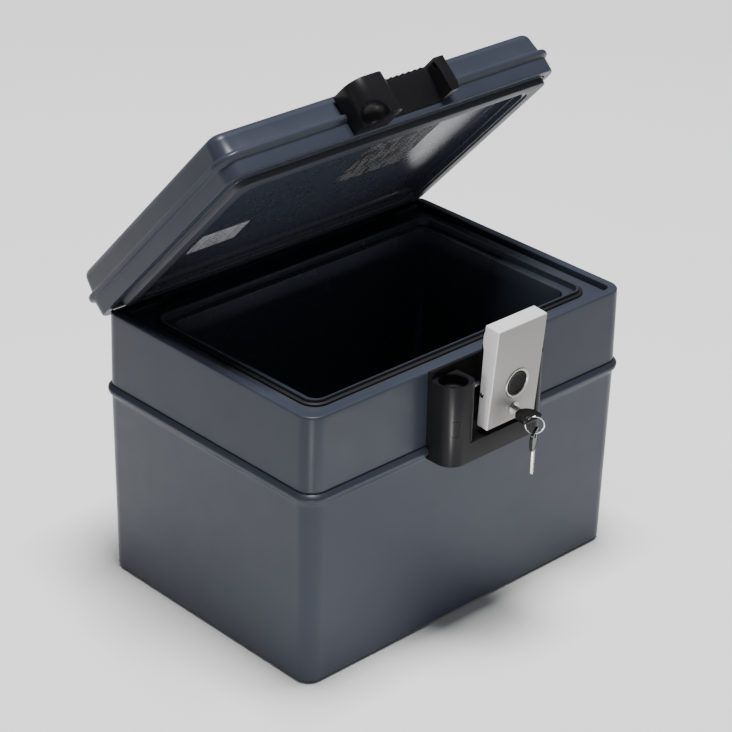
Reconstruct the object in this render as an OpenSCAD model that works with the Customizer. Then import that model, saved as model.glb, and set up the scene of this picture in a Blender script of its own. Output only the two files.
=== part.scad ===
// Fire resistant document box: insulated shell, hinged lid, front latch with
// fingerprint window, key cylinder, inserted key and a spare key on a ring.
// Millimetres, +Z up. Origin: centre of the base, on the floor; front is -Y.

/* [Display] */
// Sub-part to draw, or all of them

/* [Box shell] */
// Overall width of the shell without its belt
body_w = 430; // [380:1:480]
// Overall depth of the shell without its belt
body_d = 305; // [270:1:340]
// Height of the rim above the floor
rim_z = 296; // [240:1:340]
// Radius of the vertical corners
corner_r = 18; // [14:1:30]
// Thickness of the outer plastic walls
shell_t = 3; // [2:0.5:5]
// Thickness of the shell floor
floor_t = 3.5; // [2:0.5:6]
// Width of the flat lip round the rim
lip_w = 10; // [6:0.5:14]
// Height of the solid lip section
lip_h = 13; // [8:1:20]
// How far the belt stands out from the wall
belt_out = 5; // [2:0.5:8]
// Lower edge of the belt
belt_z0 = 205; // [180:0.5:230]
// Upper edge of the belt
belt_z1 = 215.5; // [190:0.5:245]
// Rounding of the bottom edge
foot_r = 5; // [2:0.5:8]

/* [Inner tub] */
// Clear width between the tub walls
tub_w = 346; // [300:1:380]
// Clear depth between the tub walls
tub_d = 210; // [180:1:250]
// Distance of the tub centre in front of the box centre
tub_fwd = 7; // [0:0.5:15]
// Height of the tub floor
tub_floor_z = 45; // [30:1:70]
// Thickness of the tub walls
liner_t = 2.5; // [1.5:0.5:4]
// Height of the sunk shelf inside the lip
shelf_z = 288.5; // [280:0.5:294]
// Height of the ledge between raised lip and tub
ledge_z = 287; // [278:0.5:292]
// Height of the thin raised lip
bead_z = 294; // [290:0.5:295.5]
// Outer width of the raised lip
bead_w = 372; // [350:1:385]
// Outer depth of the raised lip
bead_d = 234; // [220:1:250]
// Thickness of the raised lip
bead_t = 2.5; // [1.5:0.5:4]
// Width of the seal strip
seal_w = 4; // [3:0.5:6]
// Height of the seal strip
seal_h = 2.5; // [1.5:0.5:4]

/* [Lid] */
// Height of the lid
lid_h = 48; // [40:1:60]
// Gap between rim and lid when closed
lid_gap = 0.6; // [0.3:0.1:1.5]
// Opening angle shown
lid_open = 46.92; // [0:0.01:90]
// Lower edge of the lid belt above the lid bottom
lid_belt_z0 = 17; // [12:0.5:22]
// Upper edge of the lid belt above the lid bottom
lid_belt_z1 = 24; // [19:0.5:30]
// How far the lid belt stands out
lid_belt_out = 4.5; // [2:0.5:8]
// Step in of the upper pan against the lower ring
pan_in = 2; // [0:0.5:5]
// Rounding of the top edge
pan_r = 6; // [3:0.5:10]
// Height of the sunk lid ceiling above the lid bottom
ceiling_z = 8; // [4:0.5:14]
// Depth of the sealing tongue below the lid bottom
tongue_h = 7.1; // [5:0.1:8]

/* [Hinges] */
// Distance of the hinge line behind the box centre
hinge_y = 137.7; // [130:0.1:145]
// Height of the hinge line
hinge_z = 275.4; // [265:0.1:285]
// Radius of the hinge pins
hinge_pin_r = 3; // [2:0.1:5]
// Radial running clearance of pins in turning parts
run_fit = 0.05; // [0.01:0.01:0.1]
// Inner end of a hinge knuckle from the middle
knuckle_x0 = 150; // [120:1:180]
// Outer end of a hinge knuckle from the middle
knuckle_x1 = 163; // [130:1:190]
// Inner end of a hinge block from the middle
block_x0 = 165; // [135:1:195]
// Outer end of a hinge block from the middle
block_x1 = 197; // [160:1:202]
// Knuckle radius round the hinge line
knuckle_r = 9; // [6:0.5:11]

/* [Latch bracket] */
// Left edge of the latch bracket
brk_x0 = -65.5; // [-80:0.5:-50]
// Right edge of the latch bracket
brk_x1 = 67; // [55:0.5:80]
// Left edge of the recess between the posts
gap_x0 = -21.5; // [-30:0.5:-15]
// left side of the slot in the bracket
slot_x0 = -30; // [-32:0.5:-22]
// Right edge of the recess between the posts
gap_x1 = 51.5; // [45:0.5:60]
// Front face of the bracket
brk_y = -187; // [-195:0.5:-175]
// Lower edge of the bracket
brk_z0 = 202; // [190:0.5:210]
// Top of the cross bar
bar_z = 223; // [215:0.5:230]
// Top of the posts
post_z = 288; // [270:0.5:294]
// Radius of the round left post
post_r = 17; // [12:0.5:20]
// Radius of the cup in the left post
cup_r = 14.3; // [8:0.1:15.5]

/* [Latch] */
// Outward tilt shown
latch_open = 5.1; // [0:0.1:20]
// Left edge of the cover
cov_x0 = -18; // [-20:0.1:-10]
// Right edge of the cover
cov_x1 = 48.7; // [40:0.1:50]
// Front face of the closed cover
cov_y = -192; // [-200:0.5:-185]
// Lower edge of the closed cover
cov_z0 = 230.4; // [225:0.1:240]
// Height of the cover
cov_h = 110.2; // [90:0.1:120]
// Sheet thickness of the cover
cov_t = 2; // [1:0.1:3]
// Height of the latch pivot
piv_z = 274; // [260:0.5:290]
// Front to back position of the latch pivot
piv_y = -172; // [-180:0.5:-165]
// Radius of the latch pivot pin
piv_r = 2.5; // [1.5:0.1:4]

/* [Lock and keys] */
// Sideways position of sensor and key cylinder
lock_x = 17; // [5:0.5:30]
// Height of the fingerprint window
sensor_z = 273.1; // [260:0.1:290]
// Radius of the fingerprint window
sensor_r = 13; // [8:0.5:16]
// Outer radius of the bright ring round the window
bezel_r = 16; // [10:0.5:18]
// Height of the key cylinder
key_z = 244.7; // [240:0.1:255]
// Radius of the key cylinder barrel
barrel_r = 7; // [5:0.5:9]
// Radius of the turning plug
plug_r = 4.5; // [3:0.1:6]
// Reach of the cam peg from the plug axis
cam_reach = 8; // [5:0.5:9]
// Width of a key head
key_w = 25.4; // [18:0.1:30]
// Thickness of a key head
key_t = 3.2; // [2:0.1:5]
// Ring radius to the wire centre
ring_r = 9.15; // [6:0.05:15]
// Radius of the ring wire
wire_r = 0.65; // [0.4:0.05:1.2]

/* [Hidden] */
$fn = 64;
eps = 0.2;
half_w = body_w / 2;
half_d = body_d / 2;
front_y = -half_d;
lid_z = rim_z + lid_gap;
lid_top = lid_z + lid_h;
inner_r = corner_r - lip_w + 4;
bead_front = -tub_fwd - bead_d / 2;
seal_gap = 0.2;
plate_t = 10.5;
tongue_z = lid_z - tongue_h;
land_z = shelf_z + seal_h + 0.2;
roof_z = lid_z + ceiling_z;
block_y0 = 130;
pocket_y0 = 126;
pocket_z = 264;
gap_c0 = knuckle_x0 - 1.5;
gap_c1 = block_x0 - 0.5;
roll_r = 20.6;
cov_y1 = -178;
car_y0 = -177.6;
car_y1 = -175.6;
arm_y = -170.8;
ear_y = -167;
bolt_z0 = 331;
bolt_z1 = 336;
bolt_y0 = -172.2;
bolt_y1 = -169.2;
house_z0 = lid_z + 1.5;
house_z1 = lid_z + 43;
house_x1 = 67;
house_y = -174.5;
house_r = 5;
panel_z1 = lid_z + 39.8;
panel_y = -159.6;
rib_n = 9;
rib_x0 = -19.5;
rib_pitch = 7.9;
rib_t = 2.2;
scoop_x = -56;
scoop_y = -183;
scoop_z = lid_z + 4;
scoop_r = 15;
head_l = 21.1;
head_gap = 7;
hole_a = 23.4;
hole_x = -2.4;
hole_r = 3.2;
swing_turn = -44;
reach = 5.7;
key_y = piv_y + (cov_y - piv_y) * cos(latch_open) - (key_z - piv_z) * sin(latch_open);
key_h = piv_z + (cov_y - piv_y) * sin(latch_open) + (key_z - piv_z) * cos(latch_open);
hang_x = lock_x + hole_x + reach * cos(swing_turn);
hang_y = key_y - hole_a * cos(latch_open) + reach * sin(swing_turn);
hang_z = key_h - (hole_a - reach * sin(swing_turn)) * sin(latch_open);
ring_drop = 6.2;
spare_drop = 2.2;
spare_turn = 29.2;

// Colours of the main surfaces
slate = [0.36, 0.38, 0.43];
black = [0.10, 0.10, 0.11];
steel = [0.72, 0.73, 0.75];
navy = [0.16, 0.19, 0.25];
mineral = [0.80, 0.78, 0.73];

// ---- outlines and slabs -------------------------------------------------

// Rounded rectangle centred on the origin
module round_rect(w, d, r) {
    square([w - 2 * r, d], center = true);
    square([w, d - 2 * r], center = true);
    for (sx = [-1, 1], sy = [-1, 1])
        translate([sx * (w / 2 - r), sy * (d / 2 - r)])
            circle(r);
}

// Upright slab with a rounded outline between two heights
module slab(w, d, r, z0, z1, y = 0) {
    translate([0, y, z0])
        linear_extrude(z1 - z0)
            round_rect(w, d, r);
}

// Slab whose upper edge is rolled over with radius e
module crowned_slab(w, d, r, z0, z1, e) {
    slab(w, d, r, z0, z1 - e);
    slab(w - 2 * e, d - 2 * e, r - e, z0, z1);
    for (sx = [-1, 1], sy = [-1, 1])
        translate([sx * (w / 2 - r), sy * (d / 2 - r), z1 - e])
            rotate_extrude()
                quarter_dome(r, e);
    for (sy = [-1, 1])
        translate([0, sy * (d / 2 - e), z1 - e])
            rotate([0, 90, 0])
                cylinder(r = e, h = w - 2 * r, center = true);
    for (sx = [-1, 1])
        translate([sx * (w / 2 - e), 0, z1 - e])
            rotate([90, 0, 0])
                cylinder(r = e, h = d - 2 * r, center = true);
}

// Section of a rolled corner, for turning
module quarter_dome(r, e) {
    square([r - e, e]);
    intersection() {
        translate([r - e, 0])
            circle(e);
        translate([r - e, 0])
            square([e, e]);
    }
}

// Box between two corners
module block(a, b) {
    translate(a)
        cube([b[0] - a[0], b[1] - a[1], b[2] - a[2]]);
}

// Rod along X through a point
module x_rod(x0, x1, y, z, r) {
    translate([x0, y, z])
        rotate([0, 90, 0])
            cylinder(r = r, h = x1 - x0);
}

// Rod along Y through a point
module y_rod(y0, y1, x, z, r) {
    translate([x, y1, z])
        rotate([90, 0, 0])
            cylinder(r = r, h = y1 - y0);
}

// Section in the Y-Z plane carried along X
module x_section(x0, x1, points) {
    translate([x0, 0, 0])
        rotate([90, 0, 90])
            linear_extrude(x1 - x0)
                polygon(points);
}

// Lid parts are drawn closed and swung about the hinge line
module lid_pose() {
    translate([0, hinge_y, hinge_z])
        rotate([-lid_open, 0, 0])
            translate([0, -hinge_y, -hinge_z])
                children();
}

// Latch parts are drawn closed and tilted about the latch pivot
module latch_pose() {
    translate([0, piv_y, piv_z])
        rotate([latch_open, 0, 0])
            translate([0, -piv_y, -piv_z])
                children();
}

// ---- box ----------------------------------------------------------------

// Clear space for knuckles and hinge blocks at the back of the rim
module hinge_pockets(grow = 0) {
    for (s = [0, 1])
        mirror([s, 0, 0]) {
            block([gap_c0 - grow, pocket_y0 - grow, pocket_z - grow], [gap_c1, half_d + 8, rim_z + 3]);
            block([gap_c1 - 1, block_y0 - eps - grow, pocket_z - eps - grow],
                  [block_x1 + eps + grow, half_d - shell_t + grow, rim_z - lip_h]);
            block([gap_c1 - 1, block_y0 - eps - grow, rim_z - lip_h - 1],
                  [block_x1 + eps + grow, half_d - lip_w, rim_z + 3]);
        }
}

// Fixing screw positions of the latch bracket
module at_bracket_screws() {
    for (p = [[-48.5, 228], [-36, 256], [59, 213], [59, 262]])
        translate([p[0], 0, p[1]])
            children();
}

// Outer shell: floor, walls, belt and solid rim lip
module body_shell() {
    color(slate)
    difference() {
        union() {
            translate([0, 0, rim_z])
                mirror([0, 0, 1])
                    crowned_slab(body_w, body_d, corner_r, 0, rim_z, foot_r);
            slab(body_w + 2 * belt_out, body_d + 2 * belt_out, corner_r + belt_out, belt_z0, belt_z1);
        }
        slab(body_w - 2 * shell_t, body_d - 2 * shell_t, corner_r - shell_t, floor_t, rim_z - lip_h);
        slab(body_w - 2 * lip_w, body_d - 2 * lip_w, inner_r, rim_z - lip_h - 1, rim_z + 1);
        for (s = [0, 1])
            mirror([s, 0, 0])
                block([gap_c0, pocket_y0, pocket_z], [gap_c1, half_d + 8, rim_z + 3]);
        difference() {
            block([-half_w - 1, hinge_y, hinge_z + 6], [half_w + 1, half_d + 1, rim_z + 1]);
            x_rod(-half_w - 2, half_w + 2, hinge_y, hinge_z, roll_r);
        }
        at_bracket_screws()
            y_rod(front_y - 8, front_y + shell_t + 1, 0, 0, 2);
    }
}

// Mineral fill between shell and tub
module body_insulation() {
    color(mineral)
    difference() {
        slab(body_w - 2 * shell_t - eps, body_d - 2 * shell_t - eps, corner_r - shell_t - eps,
             floor_t + eps, rim_z - lip_h - eps);
        slab(tub_w + 2 * liner_t + eps, tub_d + 2 * liner_t + eps, 12 + liner_t,
             tub_floor_z - liner_t - eps, rim_z, -tub_fwd);
        hinge_pockets(eps);
        at_bracket_screws()
            y_rod(front_y, front_y + shell_t + 5, 0, 0, 4);
    }
}

// Tub with its flange, raised lip and inner ledge
module inner_liner() {
    color(navy)
    difference() {
        union() {
            slab(body_w - 2 * lip_w - eps, body_d - 2 * lip_w - eps, inner_r - eps,
                 shelf_z - liner_t, shelf_z);
            slab(bead_w, bead_d, 14, ledge_z - liner_t, bead_z, -tub_fwd);
            slab(tub_w + 2 * liner_t, tub_d + 2 * liner_t, 12 + liner_t,
                 tub_floor_z - liner_t, ledge_z - 1, -tub_fwd);
        }
        slab(bead_w - 2 * bead_t, bead_d - 2 * bead_t, 11.5, ledge_z, rim_z, -tub_fwd);
        slab(tub_w, tub_d, 12, tub_floor_z, rim_z, -tub_fwd);
        hinge_pockets();
    }
}

// Seal strip round the raised lip
module rim_gasket() {
    color(black)
    difference() {
        slab(bead_w + 2 * (seal_w + seal_gap), bead_d + 2 * (seal_w + seal_gap), 14 + seal_w,
             shelf_z, shelf_z + seal_h, -tub_fwd);
        slab(bead_w + 2 * seal_gap, bead_d + 2 * seal_gap, 14 + seal_gap,
             shelf_z - 1, shelf_z + seal_h + 1, -tub_fwd);
    }
}

// Pair of blocks that carry the hinge pins
module hinge_blocks() {
    color(black)
    for (s = [0, 1])
        mirror([s, 0, 0])
            difference() {
                union() {
                    block(
                        [block_x0, block_y0, pocket_z],
                        [block_x1, half_d - shell_t - eps, rim_z - lip_h - eps]
                    );
                    block([block_x0, block_y0, pocket_z], [block_x1, half_d - lip_w - 1, rim_z - 0.5]);
                }
                x_rod(block_x0 - 1, 190.1, hinge_y, hinge_z, hinge_pin_r + 0.02);
            }
}

// Pair of hinge pins
module hinge_pins() {
    color(steel)
    for (s = [0, 1])
        mirror([s, 0, 0])
            x_rod(knuckle_x0 - 0.4, 190, hinge_y, hinge_z, hinge_pin_r);
}

// Plan of the round left post with its flat front and soft right corner
module post_plan(back_y, side_x) {
    yc = brk_y + post_r;
    xc = brk_x0 + post_r;
    translate([xc, yc])
        circle(post_r);
    polygon([[brk_x0, yc], [brk_x0, back_y], [side_x, back_y], [side_x, brk_y + 11], [xc, brk_y + 11]]);
    polygon([[xc, brk_y + 12], [xc, brk_y], [side_x - 11, brk_y], [side_x - 11, brk_y + 12]]);
    translate([side_x - 11, brk_y + 11])
        circle(11);
}

// Plan of the whole bracket
module bracket_plan(back_y) {
    xr = brk_x1 - 15;
    xc = brk_x0 + post_r;
    post_plan(back_y, slot_x0);
    polygon([[xc, brk_y], [xr, brk_y], [xr, back_y], [xc, back_y]]);
    polygon([[xr - 1, brk_y + 15], [brk_x1, brk_y + 15], [brk_x1, back_y], [xr - 1, back_y]]);
    translate([xr, brk_y + 15])
        circle(15);
}

// Bracket on the box front: cross bar, two posts and a thin back plate
module latch_bracket() {
    back = front_y - eps;
    color(black)
    difference() {
        union() {
            translate([0, 0, brk_z0])
                linear_extrude(bar_z - brk_z0)
                    bracket_plan(back);
            translate([0, 0, bar_z - 1])
                linear_extrude(post_z - bar_z + 1) {
                    post_plan(back, slot_x0);
                    difference() {
                        bracket_plan(back);
                        polygon([
                            [brk_x0 - 1, brk_y - 1], [gap_x1, brk_y - 1],
                            [gap_x1, back + 1], [brk_x0 - 1, back + 1]
                        ]);
                    }
                }
            block([brk_x0, front_y - 3.5, bar_z - 1], [brk_x1, back, rim_z]);
        }
        block(
            [brk_x0 - 1, front_y - belt_out - eps, belt_z0 - eps],
            [brk_x1 + 1, front_y + 1, belt_z1 + eps]
        );
        translate([brk_x0 + post_r, brk_y + post_r, post_z - 12])
            cylinder(r = cup_r, h = 13);
        translate([brk_x0 + post_r, brk_y + post_r, post_z - 20])
            cylinder(r = 9, h = 10);
        x_rod(-34.2, 62.2, piv_y, piv_z, piv_r + 0.02);
        at_bracket_screws()
            y_rod(-165.2, front_y, 0, 0, 1.92);
    }
}

// Round head screw driven forward from inside the wall
module inside_screw(tip_y) {
    y_rod(tip_y, front_y + shell_t, 0, 0, 1.9);
    y_rod(front_y + shell_t, front_y + shell_t + 2.4, 0, 0, 3.6);
}

// Screws that hold the bracket
module bracket_screws() {
    color(steel)
    at_bracket_screws()
        inside_screw(-165);
}

// Pin the latch swings on
module latch_pivot_pin() {
    color(steel)
    x_rod(-34, 62, piv_y, piv_z, piv_r);
}

// ---- lid ----------------------------------------------------------------

// Fixing screw positions of the lid housing
module at_housing_screws() {
    for (p = [[-48.5, 330], [-32, 306], [58, 306], [58, 326]])
        translate([p[0], 0, p[1]])
            children();
}

// Outer lid pan: lower ring, belt broken off at the housing, upper pan and solid bottom lip
module lid_shell() {
    color(slate)
    lid_pose()
    difference() {
        union() {
            slab(body_w, body_d, corner_r, lid_z, lid_z + lid_belt_z1 - 1);
            slab(body_w + 2 * lid_belt_out, body_d + 2 * lid_belt_out, corner_r + lid_belt_out,
                 lid_z + lid_belt_z0, lid_z + lid_belt_z1);
            crowned_slab(body_w - 2 * pan_in, body_d - 2 * pan_in, corner_r - pan_in,
                         lid_z + lid_belt_z0, lid_top, pan_r);
        }
        block([brk_x0 - eps, front_y - lid_belt_out - 1, lid_z + lid_belt_z0 - 1],
              [house_x1 + eps, front_y, lid_z + lid_belt_z1 + 1]);
        slab(body_w - 2 * lip_w, body_d - 2 * lip_w, inner_r, lid_z - 1, lid_z + lip_h);
        slab(body_w - 2 * (pan_in + shell_t), body_d - 2 * (pan_in + shell_t), corner_r - pan_in - shell_t,
             lid_z + lip_h, lid_top - floor_t);
        at_housing_screws()
            y_rod(front_y - 8, front_y + lip_w + 1, 0, 0, 2);
        at_housing_screws()
            y_rod(front_y + shell_t, front_y + lip_w + 1, 0, 0, 3.8);
    }
}

// Mineral fill of the lid
module lid_insulation() {
    color(mineral)
    lid_pose()
    difference() {
        slab(body_w - 2 * lip_w - 2 * eps, body_d - 2 * lip_w - 2 * eps, inner_r,
             lid_z + plate_t + eps, lid_top - floor_t - eps);
        for (s = [0, 1])
            mirror([s, 0, 0])
                block([142.8, 109.8, lid_z], [170.2, 141.7, lid_z + plate_t + 3.4]);
    }
}

// Lid lining: plate, sealing tongue and sunk glossy ceiling
module lid_liner() {
    tongue_y0 = front_y + 10.5;
    tongue_y1 = 120.5;
    color(navy)
    lid_pose()
    difference() {
        union() {
            slab(body_w - 2 * lip_w - eps, body_d - 2 * lip_w - eps, inner_r - eps, lid_z, lid_z + plate_t);
            slab(409, tongue_y1 - tongue_y0, 12.5, tongue_z, lid_z + 1, (tongue_y0 + tongue_y1) / 2);
        }
        slab(382, bead_d + 9, 18, tongue_z - 1, land_z, -tub_fwd);
        slab(368, bead_d - 6.5, 14, tongue_z - 1, roof_z, -tub_fwd);
        slab(373.2, bead_d + 1.2, 14.6, tongue_z - 1, bead_z + 1.4, -tub_fwd);
        for (s = [0, 1])
            mirror([s, 0, 0])
                block([knuckle_x0 - eps, 129.5, lid_z - 1], [knuckle_x1 + eps, 141.9, lid_z + plate_t + 1]);
    }
}

// Pair of knuckles with arms and feet
module hinge_lugs() {
    color(black)
    lid_pose()
    for (s = [0, 1])
        mirror([s, 0, 0])
            difference() {
                union() {
                    x_rod(knuckle_x0, knuckle_x1, hinge_y, hinge_z, knuckle_r);
                    block([knuckle_x0, 129.7, hinge_z], [knuckle_x1, 141.7, lid_z + plate_t + 3.2]);
                    block([143, 110, lid_z + plate_t + eps], [170, 141.5, lid_z + plate_t + 3.2]);
                }
                x_rod(knuckle_x0 - 1, knuckle_x1 + 1, hinge_y, hinge_z, hinge_pin_r + run_fit);
            }
}

// Plan of the right post with one round front corner
module right_plan(back_y) {
    xc = house_x1 - house_r;
    translate([xc, house_y + house_r])
        circle(house_r);
    polygon([
        [gap_x1, house_y], [xc, house_y], [xc, house_y + house_r], [house_x1, house_y + house_r],
        [house_x1, back_y], [gap_x1, back_y]
    ]);
}

// Housing on the lid front with a thumb scoop, sloped panel and grip ribs
module lid_latch_housing() {
    back = front_y - eps;
    color(black)
    lid_pose()
    difference() {
        union() {
            translate([0, 0, house_z0])
                linear_extrude(house_z1 - house_z0)
                    post_plan(back, gap_x0);
            translate([0, 0, lid_z + 6])
                linear_extrude(house_z1 - lid_z - 6)
                    right_plan(back);
            x_section(gap_x0 - 1, gap_x1 + 1, [
                [back, panel_z1], [panel_y, panel_z1], [-157.6, lid_z + 25.7], [-153.8, lid_z + 6],
                [back, lid_z + 6]
            ]);
            for (i = [0 : rib_n - 1])
                block([rib_x0 + i * rib_pitch, panel_y + 0.2, panel_z1 - 1],
                      [rib_x0 + i * rib_pitch + rib_t, back, house_z1]);
        }
        translate([scoop_x, scoop_y, scoop_z])
            rotate([0, 90, 0])
                sphere(r = scoop_r);
        translate([0, back + 1, 0])
            rotate([90, 0, 0])
                linear_extrude(24)
                    polygon([[60.5, lid_z + 5], [68, lid_z + 20], [68, lid_z + 5]]);
        block([gap_x1 - 1, bolt_y0 - 0.4, bolt_z0 - 0.5], [61, bolt_y1 + 0.4, bolt_z1 + 0.5]);
        at_housing_screws()
            y_rod(-165.2, front_y, 0, 0, 1.92);
    }
}

// Screws that hold the lid housing
module housing_screws() {
    color(steel)
    lid_pose()
    at_housing_screws()
        inside_screw(-165);
}

// Small plain sticker on the lid ceiling
module lid_label_small() {
    color([0.9, 0.9, 0.88])
    lid_pose()
    block([-147, 23.5, roof_z - 0.4], [-85, 62.5, roof_z]);
}

// Large plain sticker on the lid ceiling
module lid_label_large() {
    color([0.8, 0.8, 0.78])
    lid_pose()
    block([9, -86.5, roof_z - 0.4], [104, 3.5, roof_z]);
}

// ---- latch --------------------------------------------------------------

// Side section of the cover, shrunk by an inset
module cover_section(x0, x1, i) {
    z1 = cov_z0 + cov_h;
    b = i > 0 ? 20 : 0;
    x_section(x0, x1, [
        [cov_y + i, cov_z0 + i], [cov_y1 + b, cov_z0 + i], [-174.6 + b, 314], [-172.6 + b, 318],
        [-172.6 + b, 330], [-173.8 + b, 334], [-173.8 + b, z1 - i], [cov_y + i, z1 - i]
    ]);
}

// Brushed cover of the latch
module latch_cover() {
    color(steel)
    latch_pose()
    difference() {
        cover_section(cov_x0, cov_x1, 0);
        cover_section(cov_x0 + cov_t, cov_x1 - cov_t, cov_t);
        y_rod(cov_y - 1, cov_y + cov_t + 1, lock_x, sensor_z, sensor_r + 1.95);
        y_rod(cov_y - 1, cov_y + cov_t + 1, lock_x, key_z, barrel_r - 1 + 0.05);
        x_rod(cov_x0 - 1, cov_x0 + cov_t + 1, -180.8, 265.75, 1.6);
        x_rod(cov_x1 - cov_t - 1, cov_x1 + 1, -180.8, 265.75, 1.6);
    }
}

// Inner carrier with pivot ears and side arms
module latch_carrier() {
    z1 = cov_z0 + cov_h - cov_t - eps;
    in0 = cov_x0 + cov_t + eps;
    in1 = cov_x1 - cov_t - eps;
    color(black)
    latch_pose()
    difference() {
        union() {
            block([in0, car_y0, cov_z0 + cov_t + eps], [in1, car_y1, z1]);
            for (x = [in0, in1 - 2.8]) {
                x_section(x, x + 2.8, [
                    [car_y0, 258], [ear_y, 262], [ear_y, 304], [arm_y, 310], [arm_y, z1], [car_y0, z1]
                ]);
                block([x, -184, 259], [x + 2.8, car_y0 + 1, 288]);
            }
        }
        x_rod(in0 - 1, in1 + 1, piv_y, piv_z, piv_r + run_fit);
        block([23.7, car_y0 - 1, bolt_z0 - 0.3], [40.4, car_y1 + 1, bolt_z1 + 0.3]);
        block([in1 - 4, bolt_y0 - 0.3, bolt_z0 - 0.3], [in1 + 1, bolt_y1 + 1, bolt_z1 + 0.3]);
        x_rod(in0 - 1, in1 + 1, -180.8, 265.75, 1.5);
    }
}

// Pair of side screws that hold cover and carrier together
module cover_screws() {
    color(steel)
    latch_pose() {
        x_rod(cov_x0 - 0.9, cov_x0 + cov_t + 2.6, -180.8, 265.75, 1.48);
        x_rod(cov_x0 - 1.2, cov_x0, -180.8, 265.75, 2.6);
        x_rod(cov_x1 - cov_t - 2.6, cov_x1 + 0.9, -180.8, 265.75, 1.48);
        x_rod(cov_x1, cov_x1 + 1.2, -180.8, 265.75, 2.6);
    }
}

// Circuit board of the lock
module control_board() {
    color([0.05, 0.30, 0.15])
    latch_pose()
    block([-12.6, -188, 292], [43.3, -186.4, 336]);
}

// Flat battery of the lock
module battery_pack() {
    color([0.25, 0.35, 0.55])
    latch_pose()
    block([-12.5, -186, 294], [9, -181, 334]);
}

// Small motor of the lock
module lock_motor() {
    color(steel)
    latch_pose() {
        x_rod(32, 43.2, -182.2, 305, 3.7);
        x_rod(29.5, 32.1, -182.2, 305, 1);
    }
}

// Bright ring round the fingerprint window
module sensor_bezel() {
    color(steel)
    latch_pose()
    translate([lock_x, cov_y, sensor_z])
        rotate([90, 0, 0])
            rotate_extrude()
                polygon([
                    [sensor_r + 0.02, -8], [sensor_r + 1.9, -8], [sensor_r + 1.9, 0],
                    [bezel_r, 0], [bezel_r - 0.6, 1], [sensor_r + 0.02, 1]
                ]);
}

// Dark fingerprint window
module sensor_window() {
    color(black)
    latch_pose()
    y_rod(cov_y - 0.6, cov_y + 7.5, lock_x, sensor_z, sensor_r);
}

// Barrel of the key cylinder
module cylinder_barrel() {
    color(steel)
    latch_pose()
    difference() {
        union() {
            y_rod(cov_y, cov_y + 8, lock_x, key_z, barrel_r - 1);
            y_rod(cov_y - 0.8, cov_y, lock_x, key_z, barrel_r);
        }
        y_rod(cov_y - 2, cov_y + 9, lock_x, key_z, plug_r + run_fit);
    }
}

// Turning plug with its keyway
module key_plug() {
    color(steel)
    latch_pose()
    difference() {
        union() {
            y_rod(cov_y - 0.7, cov_y + 8.7, lock_x, key_z, plug_r);
            y_rod(cov_y + 8.6, cov_y + 11.2, lock_x, key_z, 2);
        }
        block([lock_x - 3.7, cov_y - 2, key_z - 1.15], [lock_x + 3.7, cov_y + 8.2, key_z + 1.15]);
    }
}

// Cam disc with the peg that moves the bolt
module lock_cam() {
    color(steel)
    latch_pose()
    difference() {
        union() {
            y_rod(cov_y + 9, cov_y + 11, lock_x, key_z, cam_reach + 2.6);
            y_rod(cov_y + 10.9, cov_y + 13.1, lock_x, key_z + cam_reach, 1.5);
        }
        y_rod(cov_y + 8, cov_y + 12, lock_x, key_z, 2.02);
    }
}

// Sliding bolt: slotted lower plate, stem and nose
module lock_bolt() {
    by0 = -180.5;
    by1 = -179;
    color(steel)
    latch_pose()
    difference() {
        union() {
            block([lock_x - 7, by0, 242], [lock_x + 7, by1, 258]);
            block([lock_x - 4, by0, 257], [lock_x + 4, by1, bolt_z1]);
            block([lock_x - 4, by0, bolt_z0], [32, by1, bolt_z1]);
            block([24, by0, bolt_z0], [32, bolt_y1, bolt_z1]);
            block([24, bolt_y0, bolt_z0], [cov_x1, bolt_y1, bolt_z1]);
        }
        block([lock_x - 3.8, by0 - 1, 241], [lock_x + 3.8, by1 + 1, 255]);
    }
}

// ---- keys ---------------------------------------------------------------

// Outline of a key head; the blade side is at y = 0, the ring hole far out
module head_plan() {
    r = key_w / 2;
    intersection() {
        translate([0, r])
            circle(r);
        translate([-r, 0])
            square([key_w, r]);
    }
    translate([-r, r - 6])
        square([key_w, head_l - r + 2]);
    translate([-r + 4, r])
        square([key_w - 8, head_l - r]);
    for (s = [-1, 1])
        translate([s * (r - 4), head_l - 4])
            circle(4);
}

// Key head slab with its ring hole and blade pocket, lying flat
module head_slab(hx) {
    difference() {
        translate([0, 0, -key_t / 2])
            linear_extrude(key_t)
                head_plan();
        translate([hx, hole_a - head_gap, -key_t])
            cylinder(r = hole_r, h = 2 * key_t);
        block([-3.52, -1, -1.02], [3.52, 8.02, 1.02]);
    }
}

// Blade of a key, pointing away from its head
module blade_bar(l) {
    block([-3.5, -l, -1], [3.5, 8, 1]);
}

// Blade of the inserted key
module key_blade() {
    color(steel)
    latch_pose()
    translate([lock_x, cov_y - head_gap, key_z])
        rotate([0, 0, 180])
            blade_bar(head_gap + 7.8);
}

// Head of the inserted key
module key_head() {
    color(black)
    latch_pose()
    translate([lock_x, cov_y - head_gap, key_z])
        rotate([0, 0, 180])
            head_slab(-hole_x);
}

// Split ring through both key heads
module key_ring() {
    color(steel)
    translate([hang_x, hang_y, hang_z - ring_drop])
        rotate([0, 0, swing_turn])
            rotate([90, 0, 0])
                rotate_extrude()
                    translate([ring_r, 0])
                        circle(wire_r, $fn = 32);
}

// The spare key hangs upright from the bottom of the ring
module spare_pose() {
    translate([hang_x, hang_y, hang_z - ring_drop - ring_r - spare_drop - hole_a + head_gap])
        rotate([0, 0, spare_turn])
            rotate([90, 0, 0])
                children();
}

// Blade of the spare key
module spare_key_blade() {
    color(steel)
    spare_pose()
        blade_bar(26);
}

// Head of the spare key
module spare_key_head() {
    color(black)
    spare_pose()
        head_slab(0);
}

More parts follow.
